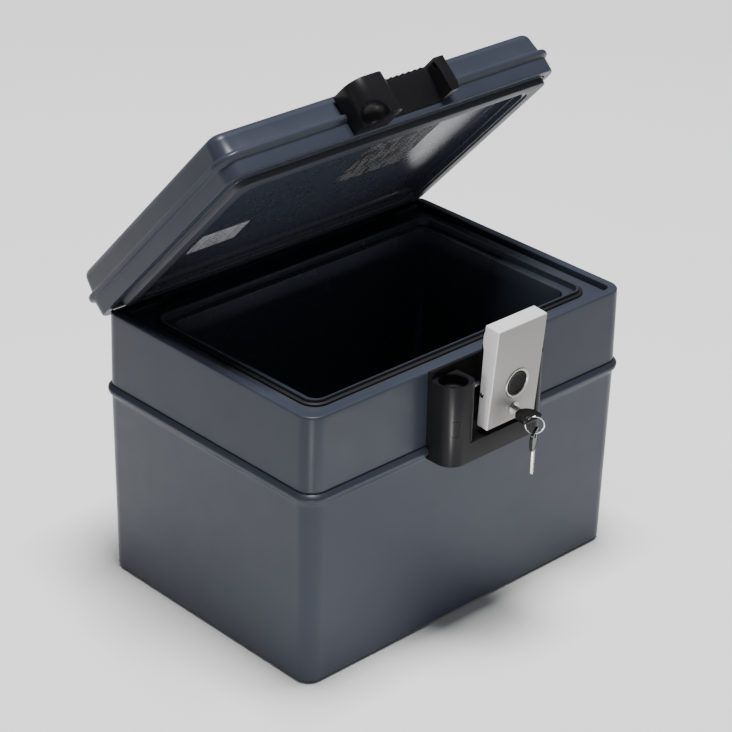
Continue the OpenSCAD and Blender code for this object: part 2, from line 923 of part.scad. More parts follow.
body_shell();
body_insulation();
inner_liner();
rim_gasket();
hinge_blocks();
hinge_pins();
latch_bracket();
bracket_screws();
latch_pivot_pin();
lid_shell();
lid_insulation();
lid_liner();
hinge_lugs();
lid_latch_housing();
housing_screws();
lid_label_small();
lid_label_large();
latch_cover();
latch_carrier();
cover_screws();
control_board();
battery_pack();
lock_motor();
sensor_bezel();
sensor_window();
cylinder_barrel();
key_plug();
lock_cam();
key_blade();
key_head();
lock_bolt();
key_ring();
spare_key_blade();
spare_key_head();
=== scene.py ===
import math

import bmesh
import bpy
from mathutils import Matrix, Vector


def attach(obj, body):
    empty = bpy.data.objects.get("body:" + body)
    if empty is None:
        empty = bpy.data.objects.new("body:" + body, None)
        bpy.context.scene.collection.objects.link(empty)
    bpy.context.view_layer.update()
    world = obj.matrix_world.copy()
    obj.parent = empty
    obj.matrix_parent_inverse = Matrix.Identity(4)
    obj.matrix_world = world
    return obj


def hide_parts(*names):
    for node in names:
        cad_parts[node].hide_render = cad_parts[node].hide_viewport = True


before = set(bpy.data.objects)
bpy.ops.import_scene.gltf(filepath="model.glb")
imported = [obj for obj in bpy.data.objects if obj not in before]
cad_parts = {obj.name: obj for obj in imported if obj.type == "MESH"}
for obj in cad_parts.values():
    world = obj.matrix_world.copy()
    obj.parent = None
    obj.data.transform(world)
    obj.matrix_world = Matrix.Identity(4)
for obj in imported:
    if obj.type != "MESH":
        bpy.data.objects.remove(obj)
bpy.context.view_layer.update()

# Each piece is drawn in millimetres with lid and latch shut, then turned to the rest pose.
MM = 0.001
LID_OPEN = math.radians(46.92)
HINGE = Vector((0, 137.7, 275.4))
LATCH_OPEN = math.radians(5.1)
PIVOT = Vector((0, -172, 274))
# underside of the lid's rim
LID_Z = 296.6
# middle of the fingerprint window and of the key cylinder, on the cover's face
SENSOR = (17, -192, 273.1)
KEYHOLE = (17, -192, 244.7)
SIDE_SCREW_Y, SIDE_SCREW_Z = -180.8, 265.75
ZERO = Matrix.Identity(4)


def about(point, angle):
    """Turn about an X axis through a point, in millimetres."""
    return Matrix.Translation(point) @ Matrix.Rotation(angle, 4, "X") @ Matrix.Translation(-point)


LID_POSE = about(HINGE, -LID_OPEN)
LATCH_POSE = about(PIVOT, LATCH_OPEN)

# ---- materials ------------------------------------------------------------


class Nodes:
    """Small helper round a material's node tree."""

    def __init__(self, name, **sockets):
        self.mat = bpy.data.materials.new(name)
        self.mat.use_nodes = True
        self.tree = self.mat.node_tree
        self.bsdf = self.tree.nodes["Principled BSDF"]
        for key, value in sockets.items():
            self.bsdf.inputs[key.replace("_", " ")].default_value = value
        self.coord = self.tree.nodes.new("ShaderNodeTexCoord").outputs["Object"]

    def link(self, a, b):
        self.tree.links.new(a, b)

    def mapped(self, scale):
        node = self.tree.nodes.new("ShaderNodeMapping")
        node.inputs["Scale"].default_value = scale
        self.link(self.coord, node.inputs["Vector"])
        return node.outputs["Vector"]

    def noise(self, scale, detail=4, rough=0.5, vector=None):
        node = self.tree.nodes.new("ShaderNodeTexNoise")
        node.inputs["Scale"].default_value = scale
        node.inputs["Detail"].default_value = detail
        node.inputs["Roughness"].default_value = rough
        self.link(vector or self.coord, node.inputs["Vector"])
        return node.outputs["Fac"]

    def voronoi(self, scale):
        node = self.tree.nodes.new("ShaderNodeTexVoronoi")
        node.inputs["Scale"].default_value = scale
        self.link(self.coord, node.inputs["Vector"])
        return node.outputs["Distance"]

    def ramp(self, fac, lo, hi, a=0.3, b=0.7):
        node = self.tree.nodes.new("ShaderNodeMapRange")
        node.inputs["From Min"].default_value = a
        node.inputs["From Max"].default_value = b
        node.inputs["To Min"].default_value = lo
        node.inputs["To Max"].default_value = hi
        self.link(fac, node.inputs["Value"])
        return node.outputs["Result"]

    def tint(self, fac, dark, light, a=0.3, b=0.7):
        node = self.tree.nodes.new("ShaderNodeValToRGB")
        node.color_ramp.elements[0].position = a
        node.color_ramp.elements[0].color = (*dark, 1)
        node.color_ramp.elements[1].position = b
        node.color_ramp.elements[1].color = (*light, 1)
        self.link(fac, node.inputs["Fac"])
        self.link(node.outputs["Color"], self.bsdf.inputs["Base Color"])

    def roughness(self, fac, lo, hi):
        self.link(self.ramp(fac, lo, hi), self.bsdf.inputs["Roughness"])

    def bump(self, *layers):
        """Each layer is (height output, strength, distance in metres)."""
        last = None
        for height, strength, distance in layers:
            node = self.tree.nodes.new("ShaderNodeBump")
            node.inputs["Strength"].default_value = strength
            node.inputs["Distance"].default_value = distance
            self.link(height, node.inputs["Height"])
            if last:
                self.link(last, node.inputs["Normal"])
            last = node.outputs["Normal"]
        self.link(last, self.bsdf.inputs["Normal"])


def moulded(name, dark, light, rough, grain=0.25, coat=0.0, size=900.0, shine=0.5):
    """Moulded plastic: fine spark-eroded grain, faint flow clouds, uneven gloss."""
    n = Nodes(name, IOR=1.5, Coat_Weight=coat, Coat_Roughness=0.12, Specular_IOR_Level=shine)
    clouds = n.noise(7, 5, 0.6)
    n.tint(clouds, dark, light)
    n.roughness(n.noise(38, 6, 0.6), rough[0], rough[1])
    n.bump((n.noise(size, 3, 0.6), grain, 0.00006), (n.noise(9, 2, 0.4), 0.06, 0.002))
    return n.mat


def metal(name, dark, light, rough, streak=(1, 1, 1), grain=0.2, scale=220.0, metallic=1.0):
    """Metal with drawn or brushed streaks and small rubs."""
    n = Nodes(name, Metallic=metallic, IOR=1.5)
    lines = n.noise(scale, 6, 0.65, n.mapped(streak))
    n.tint(lines, dark, light)
    n.roughness(n.noise(scale * 0.7, 4, 0.6, n.mapped(streak)), rough[0], rough[1])
    n.bump((lines, grain, 0.00003), (n.noise(60, 4), 0.05, 0.0003))
    return n.mat


SHELL = moulded("shell_plastic", (0.028, 0.033, 0.049), (0.033, 0.039, 0.056),
                (0.31, 0.40), 0.30, size=1100, shine=0.24)
LINER = moulded("liner_plastic", (0.022, 0.027, 0.038), (0.027, 0.032, 0.044),
                (0.20, 0.30), 0.12, 0.2)
SHELF = moulded("flange_plastic", (0.026, 0.031, 0.043), (0.031, 0.037, 0.050),
                (0.36, 0.46), 0.2, shine=0.35)
GLOSS = moulded("ceiling_plastic", (0.030, 0.035, 0.049), (0.035, 0.040, 0.055),
                (0.24, 0.32), 0.05, 0.08)
BLACK = moulded("black_plastic", (0.007, 0.007, 0.008), (0.010, 0.010, 0.011),
                (0.27, 0.35), 0.2, size=1300, shine=0.2)
BRACKET = moulded("bracket_plastic", (0.007, 0.007, 0.008), (0.010, 0.010, 0.011),
                  (0.27, 0.35), 0.2, size=1300, shine=0.09)
KEYCAP = moulded("key_plastic", (0.008, 0.008, 0.009), (0.012, 0.012, 0.013),
                 (0.22, 0.34), 0.2, shine=0.2)
RUBBER = moulded("seal_rubber", (0.006, 0.006, 0.007), (0.010, 0.010, 0.011),
                 (0.55, 0.7), 0.4, size=700, shine=0.35)
TONGUE = moulded("tongue_plastic", (0.034, 0.037, 0.047), (0.040, 0.043, 0.055),
                 (0.42, 0.52), 0.25, shine=0.35)
MINERAL = moulded("mineral_fill", (0.52, 0.50, 0.44), (0.62, 0.60, 0.54),
                  (0.8, 0.95), 1.0, size=260)
COVER = metal("cover_aluminium", (0.25, 0.24, 0.235), (0.31, 0.298, 0.293),
              (0.30, 0.42), (14, 1, 0.6), 0.3, 320, 0.4)
# Lighter copy of the cover metal for every face not turned to the front (sides, top, bevels, hole
# walls): a painted highlight for the light those faces catch
COVER_SIDE_HIGHLIGHT = metal("cover_side_highlight", (0.66, 0.64, 0.65), (0.76, 0.74, 0.75),
                   (0.30, 0.42), (1, 1, 0.6), 0.2, 320, 0.1)
STEEL = metal("bright_steel", (0.50, 0.50, 0.52), (0.68, 0.68, 0.70), (0.18, 0.32), (1, 6, 6), 0.2)
DARK_STEEL = metal("screw_steel", (0.20, 0.20, 0.21), (0.28, 0.28, 0.29),
                   (0.25, 0.4), (1, 1, 1), 0.2)
KEYSTEEL = metal("key_steel", (0.66, 0.62, 0.54), (0.82, 0.79, 0.72), (0.20, 0.34), (1, 1, 5), 0.3)
BEZEL = metal("sensor_trim", (0.34, 0.335, 0.33), (0.42, 0.415, 0.41),
              (0.14, 0.24), (1, 1, 1), 0.1, metallic=0.8)
CHROME = metal("bright_chrome", (0.55, 0.55, 0.56), (0.68, 0.68, 0.69),
               (0.08, 0.16), (1, 1, 1), 0.06)
BOARD = moulded("board_green", (0.01, 0.09, 0.035), (0.02, 0.14, 0.05), (0.3, 0.45), 0.4, size=420)
CELL = moulded("cell_wrap", (0.05, 0.09, 0.20), (0.07, 0.12, 0.26), (0.25, 0.4), 0.15)


def glass_black():
    n = Nodes("window_black", IOR=1.5, Specular_IOR_Level=0.06)
    n.tint(n.noise(120, 5), (0.003, 0.003, 0.003), (0.006, 0.005, 0.005))
    n.roughness(n.noise(300, 4), 0.20, 0.32)
    n.bump((n.voronoi(2600), 0.15, 0.00003))
    return n.mat


def label_paper(name, base, ink, rows):
    """Plain sticker: rows of short blank dashes on an even ground, no lettering."""
    n = Nodes(name, IOR=1.45, Specular_IOR_Level=0.3)
    wave = n.tree.nodes.new("ShaderNodeTexWave")
    wave.bands_direction = "Y"
    wave.inputs["Scale"].default_value = rows
    wave.inputs["Distortion"].default_value = 0.0
    n.link(n.coord, wave.inputs["Vector"])
    gate = n.tree.nodes.new("ShaderNodeMath")
    gate.operation = "MULTIPLY"
    n.link(wave.outputs["Fac"], gate.inputs[0])
    n.link(n.ramp(n.noise(1, 2, 0.5, n.mapped((340, 60, 60))), 0, 1, 0.47, 0.53), gate.inputs[1])
    n.tint(gate.outputs["Value"], base, ink, 0.45, 0.6)
    n.roughness(n.noise(400, 4), 0.5, 0.65)
    n.bump((n.noise(1500, 3), 0.3, 0.00003))
    return n.mat


WINDOW = glass_black()
PAPER = label_paper("label_paper", (0.30, 0.31, 0.33), (0.10, 0.10, 0.11), 70)
DARK_PAPER = label_paper("dark_label", (0.016, 0.016, 0.018), (0.16, 0.16, 0.17), 90)

# ---- mesh helpers ---------------------------------------------------------


def arc(cx, cz, r, a0, a1, n=6):
    """Points of an arc in a section plane, angles in degrees."""
    angles = [math.radians(a0 + (a1 - a0) * i / n) for i in range(n + 1)]
    return [(cx + r * math.cos(a), cz + r * math.sin(a)) for a in angles]


def outline(x0, x1, y0, y1, r, n=9):
    """Rounded rectangle, counter-clockwise, four corners of n + 1 points."""
    r = max(r, 0.3)
    corners = [(x1 - r, y1 - r), (x0 + r, y1 - r), (x0 + r, y0 + r), (x1 - r, y0 + r)]
    out = []
    for k, (cx, cy) in enumerate(corners):
        out += arc(cx, cy, r, 90 * k, 90 * k + 90, n)
    return out


def finish_mesh(name, bm, matrix, material, angle=32):
    """Turns a bmesh in millimetres into a smooth shaded object at rest."""
    bmesh.ops.remove_doubles(bm, verts=bm.verts, dist=1e-4)
    bmesh.ops.recalc_face_normals(bm, faces=bm.faces)
    mesh = bpy.data.meshes.new(name)
    bm.to_mesh(mesh)
    bm.free()
    mesh.transform(Matrix.Scale(MM, 4) @ matrix)
    for p in mesh.polygons:
        p.use_smooth = True
    mesh.set_sharp_from_angle(angle=math.radians(angle))
    mesh.materials.append(material)
    obj = bpy.data.objects.new(name, mesh)
    bpy.context.collection.objects.link(obj)
    return obj


def loft(loops, closed=False):
    """Skin through loops of equal length, capped at the ends or closed on itself."""
    bm = bmesh.new()
    rings = [[bm.verts.new(p) for p in loop] for loop in loops]
    pairs = list(zip(rings, rings[1:]))
    if closed:
        pairs.append((rings[-1], rings[0]))
    for a, b in pairs:
        n = len(a)
        for i in range(n):
            j = (i + 1) % n
            bm.faces.new((a[i], a[j], b[j], b[i]))
    if not closed:
        bm.faces.new(rings[0][::-1])
        bm.faces.new(rings[-1])
    return bm


def shell_loops(profile, xh, y0, y1, r, n=9):
    """Loops of a wall section (inset, z) carried round a rounded rectangle."""
    loops = []
    for i, z in profile:
        plan = outline(-xh + i, xh - i, y0 + i, y1 - i, r - i, n)
        loops.append([(x, y, z) for x, y in plan])
    return loops


def prism(points, z0, z1):
    """Upright prism over a plan outline."""
    bm = bmesh.new()
    lower = [bm.verts.new((x, y, z0)) for x, y in points]
    upper = [bm.verts.new((x, y, z1)) for x, y in points]
    n = len(points)
    for i in range(n):
        j = (i + 1) % n
        bm.faces.new((lower[i], lower[j], upper[j], upper[i]))
    bm.faces.new(lower[::-1])
    bm.faces.new(upper)
    bmesh.ops.recalc_face_normals(bm, faces=bm.faces)
    return bm


def x_prism(points, x0, x1):
    """Prism of a Y-Z section along X."""
    bm = prism(points, x0, x1)
    for v in bm.verts:
        y, z, x = v.co
        v.co = (x, y, z)
    bmesh.ops.recalc_face_normals(bm, faces=bm.faces)
    return bm


def box(a, b):
    """Block between two opposite corners."""
    return prism([(a[0], a[1]), (b[0], a[1]), (b[0], b[1]), (a[0], b[1])], a[2], b[2])


def box_pair(a, b):
    """The same block on the right and on the left."""
    return [box(a, b), box((-b[0], a[1], a[2]), (-a[0], b[1], b[2]))]


QUARTER = math.pi / 2
TURNS = {
    "Z": ZERO,
    "X": Matrix.Rotation(QUARTER, 4, "Y"),
    "-X": Matrix.Rotation(-QUARTER, 4, "Y"),
    "-Y": Matrix.Rotation(QUARTER, 4, "X"),
}


def lathe(section, centre, axis="Z", n=64, closed=False):
    """Turned solid from (radius, height) points; heights run along axis."""
    angles = [2 * math.pi * i / n for i in range(n)]
    loops = [[(r * math.cos(a), r * math.sin(a), h) for a in angles] for r, h in section]
    bm = loft(loops, closed=closed)
    matrix = Matrix.Translation(centre) @ TURNS[axis]
    bmesh.ops.transform(bm, matrix=matrix, verts=bm.verts)
    bmesh.ops.recalc_face_normals(bm, faces=bm.faces)
    return bm


def as_object(name, bm):
    """Plain object from a bmesh, which is used up."""
    mesh = bpy.data.meshes.new(name)
    bm.to_mesh(mesh)
    bm.free()
    obj = bpy.data.objects.new(name, mesh)
    bpy.context.collection.objects.link(obj)
    return obj


def carve(base, add=(), cut=()):
    """Exact union and difference of bmeshes; returns the resulting bmesh."""
    obj = as_object("work", base)
    tools = []
    for kind, group in (("UNION", add), ("DIFFERENCE", cut)):
        for bm in group:
            tool = as_object("tool", bm)
            mod = obj.modifiers.new("b", "BOOLEAN")
            mod.operation = kind
            mod.solver = "EXACT"
            mod.object = tool
            tools.append(tool)
    mesh = bpy.data.meshes.new_from_object(obj.evaluated_get(bpy.context.evaluated_depsgraph_get()))
    out = bmesh.new()
    out.from_mesh(mesh)
    bpy.data.meshes.remove(mesh)
    for o in [obj] + tools:
        m = o.data
        bpy.data.objects.remove(o)
        bpy.data.meshes.remove(m)
    return out


def soften(bm, width, segments=3, angle=30):
    """Bevels edges sharper than angle, in millimetres."""
    bmesh.ops.remove_doubles(bm, verts=bm.verts, dist=1e-3)
    bmesh.ops.dissolve_limit(bm, angle_limit=math.radians(0.5), verts=bm.verts, edges=bm.edges)
    sharp = math.radians(angle)
    edges = [e for e in bm.edges if len(e.link_faces) == 2 and e.calc_face_angle(0) > sharp]
    bmesh.ops.bevel(bm, geom=edges, offset=width, segments=segments, profile=0.5,
                    affect="EDGES", clamp_overlap=True)
    return bm


def piece(name, bm, body, material, node, matrix=ZERO, angle=32):
    """Finished piece that rides on a body and replaces a node of the part."""
    obj = finish_mesh(name, bm, matrix, material, angle)
    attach(obj, body)
    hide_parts(node)
    return obj


def join(bms):
    """One bmesh out of several separate solids."""
    out = bmesh.new()
    for bm in bms:
        mesh = bpy.data.meshes.new("tmp")
        bm.to_mesh(mesh)
        bm.free()
        out.from_mesh(mesh)
        bpy.data.meshes.remove(mesh)
    return out


def mirrored(bm):
    """Copy on the other side of the middle plane."""
    out = bm.copy()
    bmesh.ops.scale(out, vec=(-1, 1, 1), verts=out.verts)
    bmesh.ops.recalc_face_normals(out, faces=out.faces)
    return out


# ---- box ------------------------------------------------------------------

# half width, half depth and corner radius of box and lid
HW, HD, RC = 215.0, 152.5, 18.0
# radius of the rim's rear edge about the hinge
ROLL_R = 20.6
# slot for a hinge knuckle, right-hand one
KNUCKLE_SLOT = ((148.5, 126, 264), (164.5, 162, 300))
# opening of the liners where they meet
LINER_EDGE = (204.9, -142.4, 142.4)


def roll_back(bm):
    """Rounds the rear of the rim about the hinge line."""
    for v in bm.verts:
        dy = v.co.y - HINGE.y
        if dy > 0 and v.co.z > HINGE.z + 5:
            top = HINGE.z + math.sqrt(max(ROLL_R ** 2 - dy * dy, 25))
            v.co.z = min(v.co.z, top)


def body_shell():
    profile = [(40, 0.0), (14, 0.0)] + arc(8.0, 6.4, 6.4, 270, 180, 7)
    profile += [(-1.0, 200.0), (-1.6, 203.2), (-3.0, 205.4)]
    profile += [(-4.4, 207.0), (-5.0, 209.0), (-5.0, 210.6), (-4.7, 211.6), (-4.0, 212.3)]
    profile += [(-1.9, 214.2), (-0.6, 214.7), (0.1, 215.2), (-0.2, 216.1), (-0.9, 217.0)]
    profile += [(-0.2, 290.0)] + arc(2.0, 294.0, 2.0, 180, 90, 5)
    profile += arc(8.6, 294.6, 1.4, 90, 0, 4) + [(10.0, 283.0), (3.0, 283.0), (3.0, 3.5), (40, 3.5)]
    bm = loft(shell_loops(profile, HW, -HD, HD, RC, 10))
    roll_back(bm)
    bm = carve(bm, cut=box_pair(*KNUCKLE_SLOT))
    piece("body_shell_skin", bm, "box", SHELL, "body_shell")


def level(xh, y0, y1, r, z):
    """Rounded rectangle at one height."""
    return [(x, y, z) for x, y in outline(-xh, xh, y0, y1, r, 9)]


def inner_liner():
    cy = -7.0

    def ring(i, z):
        return level(186 - i, cy - 117 + i, cy + 117 - i, max(14 - i, 1), z)

    def tub(i, z):
        return level(173 - i, cy - 105 + i, cy + 105 - i, max(12 - i * 0.3, 1), z)
    loops = [tub(-2.5, 284.4), level(*LINER_EDGE, 11.9, 286.0), level(*LINER_EDGE, 11.9, 288.5)]
    bead = [(-0.6, 288.5), (-0.1, 288.9), (0.0, 289.6), (0.1, 293.2), (0.5, 293.8), (1.1, 294.0)]
    bead += [(1.7, 293.9), (2.3, 293.4), (2.5, 292.6), (2.6, 287.9), (3.0, 287.2), (3.6, 287.0)]
    loops += [ring(i, z) for i, z in bead]
    loops += [tub(-1.2, 287.0), tub(-0.4, 286.7), tub(0.0, 286.0), tub(1.6, 62.0)]
    for i in range(1, 8):
        a = math.radians(90 * i / 7)
        loops.append(tub(1.6 + 16 * (1 - math.cos(a)), 61.0 - 16 * math.sin(a)))
    loops += [tub(60, 45.0)]
    outer = [tub(60, 42.5), tub(16, 42.5), tub(-2.5, 58.0)]
    bm = loft(loops + outer, closed=True)
    # the tub's floor: the last inside loop and the first outside loop are filled
    n = len(loops[0])
    verts = list(bm.verts)
    inner = verts[(len(loops) - 1) * n:len(loops) * n]
    under = verts[len(loops) * n:(len(loops) + 1) * n]
    for e in list(bm.edges):
        one, two = e.verts
        if (one in inner and two in under) or (two in inner and one in under):
            bm.edges.remove(e)
    bm.faces.new(inner)
    bm.faces.new(under)
    bmesh.ops.recalc_face_normals(bm, faces=bm.faces)
    knuckle = box_pair(*KNUCKLE_SLOT)
    block = box_pair((164.0, 129.7, 264), (197.4, 162, 300))
    bm = carve(bm, cut=[knuckle[0], block[0], knuckle[1], block[1]])
    obj = piece("inner_liner_skin", bm, "box", LINER, "inner_liner")
    obj.data.materials.append(SHELF)
    for p in obj.data.polygons:
        c = p.center / MM
        outside = abs(c.x) > 185.5 or c.y > 109.5 or c.y < -123.5
        if p.normal.z > 0.5 and 288.2 < c.z < 289.2 and outside:
            p.material_index = 1


def rim_gasket():
    def ring(i, z):
        return level(186.2 + i, -124.2 - i, 110.2 + i, 14.2 + i, z)
    section = [(0.0, 288.5), (0.0, 290.2), (0.35, 290.75), (0.9, 291.0), (1.5, 290.7), (1.9, 290.1)]
    section += [(2.3, 290.1), (2.7, 290.7), (3.2, 291.0), (3.7, 290.7), (4.0, 290.1), (4.0, 288.5)]
    bm = loft([ring(i, z) for i, z in section], closed=True)
    piece("rim_gasket_strip", bm, "box", RUBBER, "rim_gasket")


def hinges():
    cy, cz = HINGE.y, HINGE.z
    blocks, lugs = [], []
    for s in (1, -1):
        section = [(130, 264), (149.2, 264), (149.2, 282.8), (141.5, 282.8), (141.5, 294.6)]
        section += [(140.6, 295.4), (131.2, 295.4), (130, 294.4)]
        bm = x_prism(section, 165, 197)
        bm = carve(bm, cut=[lathe([(3.03, -40), (3.03, 0)], (190.1, cy, cz), "X")])
        bm = soften(bm, 0.8, 3)
        blocks.append(bm if s > 0 else mirrored(bm))
        if s < 0:
            bm.free()
        arm = [(129.7, 300)] + arc(cy, cz, 9, 171, 387, 24) + [(141.7, cz + 14), (141.7, 300)]
        plates = [box((150, 129.7, 299), (163, 141.7, 310.3))]
        plates += [box((143, 110, 307.3), (170, 141.5, 310.3))]
        bore = lathe([(3.06, -20), (3.06, 0)], (164, cy, cz), "X")
        lug = carve(x_prism(arm, 150, 163), add=plates, cut=[bore])
        lug = soften(lug, 0.7, 3)
        lugs.append(lug if s > 0 else mirrored(lug))
        if s < 0:
            lug.free()
    piece("hinge_block_pair", join(blocks), "box", SHELF, "hinge_blocks")
    piece("hinge_lug_pair", join(lugs), "lid", BLACK, "hinge_lugs", LID_POSE)


# ---- latch bracket and lid housing ----------------------------------------

# left and right side, front and back of the two mouldings
X0, X1, FRONT_Y, BACK_Y = -65.5, 67.0, -187.0, -152.7
# slot of the bracket on the left, gap of the housing on both sides
SLOT_X0, GAP_X0, GAP_X1 = -30.0, -21.5, 51.5
# radius of the round left post, and of the corner beside the gap
POST_R, GAP_R = 17, 11


def latch_bracket():
    cx, cy = X0 + POST_R, FRONT_Y + POST_R
    plan = [(X0, BACK_Y)] + arc(cx, cy, POST_R, 180, 270, 16)
    plan += arc(X1 - 15, FRONT_Y + 15, 15, 270, 360, 12) + [(X1, BACK_Y)]
    mouth, floor_y = FRONT_Y - 3, -156.0
    slot = [(SLOT_X0 - 11.5, mouth), (GAP_X1, mouth), (GAP_X1, floor_y), (SLOT_X0, floor_y)]
    slot += arc(SLOT_X0 - GAP_R, FRONT_Y + GAP_R, GAP_R, 360, 270, 10)
    cup = [(0.01, 268), (7.8, 268.0), (8.8, 268.6), (9.2, 269.6), (9.6, 274.2), (10.4, 275.4)]
    cup += [(13.2, 276.0), (14.0, 277.0), (14.2, 286.4), (14.9, 287.6), (15.6, 288.4)]
    cup += [(15.6, 289), (0.01, 289)]
    pin_bore = lathe([(2.53, -96.4), (2.53, 0)], (62.2, PIVOT.y, PIVOT.z), "X", 32)
    belt_groove = box((X0 - 2, -157.7, 204.7), (X1 + 2, -150, 215.8))
    cuts = [prism(slot, 223, 296), lathe(cup, (cx, cy, 0), "Z", 72), pin_bore, belt_groove]
    back_plate = box((X0 + 0.4, -156.1, 240), (X1 - 0.4, BACK_Y, 296))
    bm = carve(prism(plan, 202, 288), add=[back_plate], cut=cuts)
    bm = soften(bm, 0.9, 3, 28)

    def sector(a0, a1, lo, hi):
        return prism(arc(cx, cy, 19, a0, a1, 10) + arc(cx, cy, 16.6, a1, a0, 10), lo, hi)
    # thin line of a rounded field on the post
    line = carve(sector(222.7, 251.1, 235, 252), cut=[sector(224.4, 249.4, 235.5, 251.5)])
    bm = carve(bm, cut=[line])
    piece("latch_bracket_body", bm, "box", BRACKET, "latch_bracket", angle=30)


def lid_latch_housing():
    back, z, z1 = BACK_Y, LID_Z, LID_Z + 43
    post = [(X0, back)] + arc(X0 + POST_R, FRONT_Y + POST_R, POST_R, 180, 270, 16)
    post += arc(GAP_X0 - GAP_R, FRONT_Y + GAP_R, GAP_R, 270, 360, 10) + [(GAP_X0, back)]
    right = [(GAP_X1, -174.5), (X1 - 5, -174.5)] + arc(X1 - 5, -169.5, 5, 270, 360, 8)
    right += [(X1, back), (GAP_X1, back)]
    panel = [(back, z + 6), (-153.8, z + 6), (-157.6, z + 25.7), (-159.6, z + 38.9)]
    panel += [(-159.0, z + 39.8), (back, z + 39.8)]
    add = [prism(right, z + 6, z1), x_prism(panel, GAP_X0 - 1, GAP_X1 + 1)]
    rib = [(-159.4, z + 38), (back, z + 38), (back, z1), (-158.8, z1), (-159.4, z1 - 0.8)]
    for i in range(9):
        add.append(x_prism(rib, -19.5 + i * 7.9, -17.3 + i * 7.9))
    scoop = bmesh.new()
    bmesh.ops.create_uvsphere(scoop, u_segments=72, v_segments=48, radius=15)
    bmesh.ops.translate(scoop, vec=(-56, -183, z + 4), verts=scoop.verts)
    foot = prism([(60.5, z + 5), (68, z + 20), (68, z + 5)], 150, 176)
    bmesh.ops.transform(foot, matrix=Matrix.Rotation(math.pi / 2, 4, "X"), verts=foot.verts)
    bolt_pocket = box((GAP_X1 - 1, -172.6, 330.5), (61, -168.8, 336.5))
    bm = carve(prism(post, z + 1.5, z1), add=add, cut=[scoop, foot, bolt_pocket])
    bm = soften(bm, 0.6, 3, 34)
    piece("lid_housing_body", bm, "lid", BLACK, "lid_latch_housing",
          LID_POSE, angle=30)


# ---- lid ------------------------------------------------------------------


def lid_shell():
    z = LID_Z
    profile = [(40, z + 44.5), (5.0, z + 44.5), (5.0, z + 13.0), (10.0, z + 13.0)]
    profile += [(10.0, z + 0.8), (9.2, z), (1.6, z)] + arc(1.8, z + 1.8, 1.8, 270, 180, 4)
    profile += [(-0.3, z + 15.4), (-1.2, z + 16.6), (-3.2, z + 17.4), (-4.2, z + 18.4)]
    profile += [(-4.5, z + 19.8), (-4.5, z + 21.2), (-4.1, z + 22.4), (-3.2, z + 23.3)]
    profile += [(-0.6, z + 24.0), (0.6, z + 24.4), (1.4, z + 25.2), (1.7, z + 26.2)]
    profile += [(3.4, z + 39.0)] + arc(12.0, z + 39.4, 8.6, 180, 90, 8)
    profile += [(30, z + 48.0), (60, z + 48.0)]
    bm = loft(shell_loops(profile, HW, -HD, HD, RC, 10))
    bm = carve(bm, cut=[box((-65.7, -159, z + 15.4), (67.2, -152.3, z + 24.2))])
    piece("lid_shell_skin", bm, "lid", SHELL, "lid_shell", LID_POSE)


def lid_liner():
    z = LID_Z

    def out(i, h):
        return level(204.5 - i, -142 + i, 120.5 - i, 12.5 - i, h)

    def mid(i, h):
        return level(191 - i, -128.5 + i, 114.5 - i, 18 - i * 0.5, h)

    def rec(i, h):
        return level(184 - i, -122.0 + i, 108.0 - i, 14 - i * 0.3, h)
    loops = [level(*LINER_EDGE, 11.8, z + 10.5), level(*LINER_EDGE, 11.8, z)]
    loops += [out(-0.3, z), out(0.0, z - 0.4), out(0.1, z - 5.6), out(0.6, z - 6.7), out(1.6, z - 7.1)]
    step = [(-1.6, -7.1), (-0.6, -6.9), (0.0, -6.2), (0.1, -5.5), (0.6, -5.4)]
    loops += [mid(i, z + h) for i, h in step]
    edge = [(-3.6, -5.4), (-3.0, -5.0), (-2.6, -4.2), (-2.6, -1.2), (-2.0, -0.6), (-0.8, -0.4)]
    loops += [rec(i, z + h) for i, h in edge] + [rec(0.0, z + 0.2)]
    for i in range(7):
        a = math.radians(90 * i / 6)
        loops.append(rec(6 * (1 - math.cos(a)), z + 2 + 6 * math.sin(a)))
    loops.append(rec(40, z + 8.05))
    bm = carve(loft(loops), cut=box_pair((149.8, 129.5, z - 1), (163.2, 141.9, z + 12)))
    for f in bm.faces:
        c = f.calc_center_median()
        tongue = abs(c.x) > 187.8 or c.y < -125.8 or c.y > 111.8
        f.material_index = 1 if c.z < z - 0.2 and tongue else 0
    obj = piece("lid_liner_skin", bm, "lid", GLOSS, "lid_liner", LID_POSE)
    obj.data.materials.append(TONGUE)


def labels():
    z = LID_Z + 8
    rows = [("sticker_small", (-147, -85, 23.5, 62.5), PAPER, "lid_label_small")]
    rows += [("sticker_large", (9, 104, -86.5, 3.5), DARK_PAPER, "lid_label_large")]
    for name, (x0, x1, y0, y1), material, node in rows:
        loops = []
        for i, h in ((0.0, z), (0.0, z - 0.25), (0.2, z - 0.4)):
            plan = outline(x0 + i, x1 - i, y0 + i, y1 - i, 2.5 - i, 5)
            loops.append([(x, y, h) for x, y in plan])
        piece(name, loft(loops), "lid", material, node, LID_POSE)


# ---- latch ----------------------------------------------------------------


COVER_Y = -192


